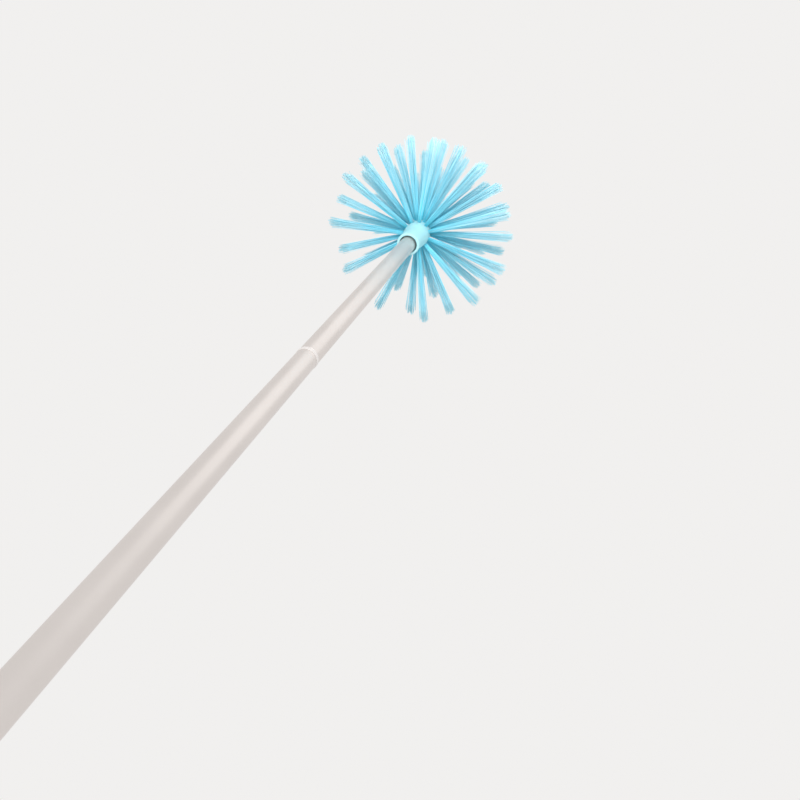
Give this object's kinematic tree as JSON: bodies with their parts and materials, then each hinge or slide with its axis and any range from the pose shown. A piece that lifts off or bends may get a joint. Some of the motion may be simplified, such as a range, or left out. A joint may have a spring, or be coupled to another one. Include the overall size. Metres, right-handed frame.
{
  "type": "roof cleaning brush",
  "caption": "Round long-bristled dusting brush on a straight pole of metal tubes that screw end to end, with a ribbed grip and hanging eye.",
  "frame": {"origin": "centre of the end cap's flat bottom face", "axes": "+Z along the pole towards the brush head, +Y through the hanging eye"},
  "size_m": [0.2355, 0.235, 1.587],
  "materials": {
    "plastic": "satin sky-blue moulding",
    "bristle": "sky-blue filament",
    "tube": "satin",
    "insert": "moulded",
    "ring": "pale satin",
    "washer": "matt"
  },
  "bodies": {
    "handle": {"end_cap": "plastic", "grip": "plastic", "tube_4": "tube", "thread_socket_3": "insert"},
    "ring_3": {"joint_ring_3": "ring"},
    "section_3": {"tube_3": "tube", "thread_plug_3": "insert", "thread_socket_2": "insert"},
    "ring_2": {"joint_ring_2": "ring"},
    "section_2": {"tube_2": "tube", "thread_plug_2": "insert", "thread_socket_1": "insert"},
    "ring_1": {"joint_ring_1": "ring"},
    "section_1": {"tube_1": "tube", "thread_plug_1": "insert", "head_plug": "insert"},
    "washer": {"head_washer": "washer"},
    "head": {"head_socket": "plastic", "tuft_ring_1": "bristle", "tuft_ring_2": "bristle", "tuft_ring_3": "bristle", "tuft_ring_4": "bristle", "tuft_ring_5": "bristle", "tuft_crown": "bristle"}
  },
  "joints": [
    {"name": "rise_3", "type": "slide", "parent": "handle", "child": "ring_3", "axis": [0, 0, 1], "range_m": [0, 0.02]},
    {"name": "unscrew_3", "type": "hinge", "parent": "ring_3", "child": "section_3", "pos_m": [0, 0, 0.3749], "axis": [0, 0, 1], "range_deg": [0, 1440]},
    {"name": "rise_2", "type": "slide", "parent": "section_3", "child": "ring_2", "axis": [0, 0, 1], "range_m": [0, 0.02]},
    {"name": "unscrew_2", "type": "hinge", "parent": "ring_2", "child": "section_2", "pos_m": [0, 0, 0.7195], "axis": [0, 0, 1], "range_deg": [0, 1440]},
    {"name": "rise_1", "type": "slide", "parent": "section_2", "child": "ring_1", "axis": [0, 0, 1], "range_m": [0, 0.02]},
    {"name": "unscrew_1", "type": "hinge", "parent": "ring_1", "child": "section_1", "pos_m": [0, 0, 1.0641], "axis": [0, 0, 1], "range_deg": [0, 1440]},
    {"name": "rise_head", "type": "slide", "parent": "section_1", "child": "washer", "axis": [0, 0, 1], "range_m": [0, 0.02]},
    {"name": "unscrew_head", "type": "hinge", "parent": "washer", "child": "head", "pos_m": [0, 0, 1.4081], "axis": [0, 0, 1], "range_deg": [0, 1440]}
  ],
  "couplings": [
    {"joint": "unscrew_3", "follows": "rise_3", "rad_per_m": 1256.6},
    {"joint": "unscrew_2", "follows": "rise_2", "rad_per_m": 1256.6},
    {"joint": "unscrew_1", "follows": "rise_1", "rad_per_m": 1256.6},
    {"joint": "unscrew_head", "follows": "rise_head", "rad_per_m": 1256.6}
  ]
}
